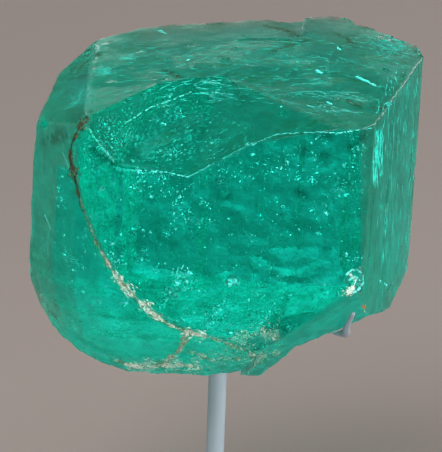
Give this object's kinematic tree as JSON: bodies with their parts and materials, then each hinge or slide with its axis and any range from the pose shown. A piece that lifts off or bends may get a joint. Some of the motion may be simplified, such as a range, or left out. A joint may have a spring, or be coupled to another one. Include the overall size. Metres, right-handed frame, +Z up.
{
  "type": "emerald crystal on a claw stand",
  "caption": "Stout six-sided emerald crystal with a flat dull top and a broken underside, held in bent wire claws on a thin rod above a round base.",
  "frame": {"origin": "middle of the base's flat underside, on the rod's axis", "axes": "+Z up along the rod, -Y towards the viewer of the picture, +X to the right in the picture"},
  "size_m": [0.054, 0.054, 0.0765],
  "materials": {
    "emerald": "clear deep green, dull and striated on the top and the right face",
    "stand_paint": "satin blue-grey paint on steel"
  },
  "bodies": {
    "root": {"emerald_crystal": "emerald", "claw_cradle": "stand_paint", "stand_rod": "stand_paint", "stand_base": "stand_paint"}
  },
  "joints": []
}
